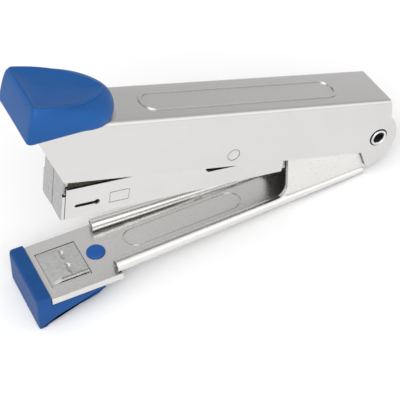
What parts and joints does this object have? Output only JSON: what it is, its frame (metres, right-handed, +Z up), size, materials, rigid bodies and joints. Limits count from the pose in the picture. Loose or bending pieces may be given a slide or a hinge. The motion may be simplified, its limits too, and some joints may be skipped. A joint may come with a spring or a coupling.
{
  "type": "desk stapler",
  "caption": "Small pressed-steel desk stapler with a blue thumb cap, hinged magazine and handle, flat base with rolled edges, anvil and blue front shoe.",
  "frame": {"origin": "centre of the whole stapler's box at rest, on the surface that it stands on", "axes": "+Z up; -X to the front, where the anvil and the thumb cap are; +X to the hinge; +Y across"},
  "size_m": [0.0944, 0.0184, 0.0587],
  "materials": {
    "plated_steel": "bright nickel plate, satin",
    "magazine_steel": "bright nickel plate, satin",
    "anvil_steel": "bare steel, ground",
    "rivet_steel": "bright plated",
    "dark_steel": "oiled dark steel",
    "spring_steel": "spring wire",
    "staple_wire": "galvanised wire, warm tint",
    "blue_plastic": "satin moulded blue",
    "plug_plastic": "satin moulded darker blue"
  },
  "bodies": {
    "base": {"base_frame": "plated_steel", "anvil_plate": "anvil_steel", "base_shoe": "blue_plastic", "shoe_plug": "plug_plastic", "hinge_rivet": "rivet_steel", "hinge_bushes": "dark_steel", "return_spring": "spring_steel"},
    "magazine": {"magazine_channel": "magazine_steel", "staple_rail": "anvil_steel", "rail_rivets": "rivet_steel", "guide_rod": "rivet_steel", "rod_bracket": "anvil_steel", "staple_strip": "staple_wire", "pusher_spring": "spring_steel", "handle_spring": "spring_steel"},
    "pusher": {"pusher": "anvil_steel"},
    "handle": {"handle_cover": "plated_steel", "handle_cap": "blue_plastic", "driver_blade": "anvil_steel", "driver_rivets": "rivet_steel"}
  },
  "joints": [
    {"name": "magazine_hinge", "type": "hinge", "parent": "base", "child": "magazine", "pos_m": [0.04216, 0, 0.01042], "axis": [0, 1, 0], "range_deg": [-12.8, 0], "stiffness_Nm_per_rad": 0.15, "springref_deg": 45.84, "deforming": ["return_spring"]},
    {"name": "handle_hinge", "type": "hinge", "parent": "magazine", "child": "handle", "pos_m": [0.04216, 0, 0.01042], "axis": [0, 1, 0], "range_deg": [-5, 100], "stiffness_Nm_per_rad": 0.12, "springref_deg": 4.3, "deforming": ["handle_spring"]},
    {"name": "pusher_slide", "type": "slide", "parent": "magazine", "child": "pusher", "axis": [-0.9668, 0, 0.2556], "range_m": [-0.0164, 0], "stiffness_N_per_m": 50, "springref_m": 0.02, "deforming": ["pusher_spring"]}
  ]
}
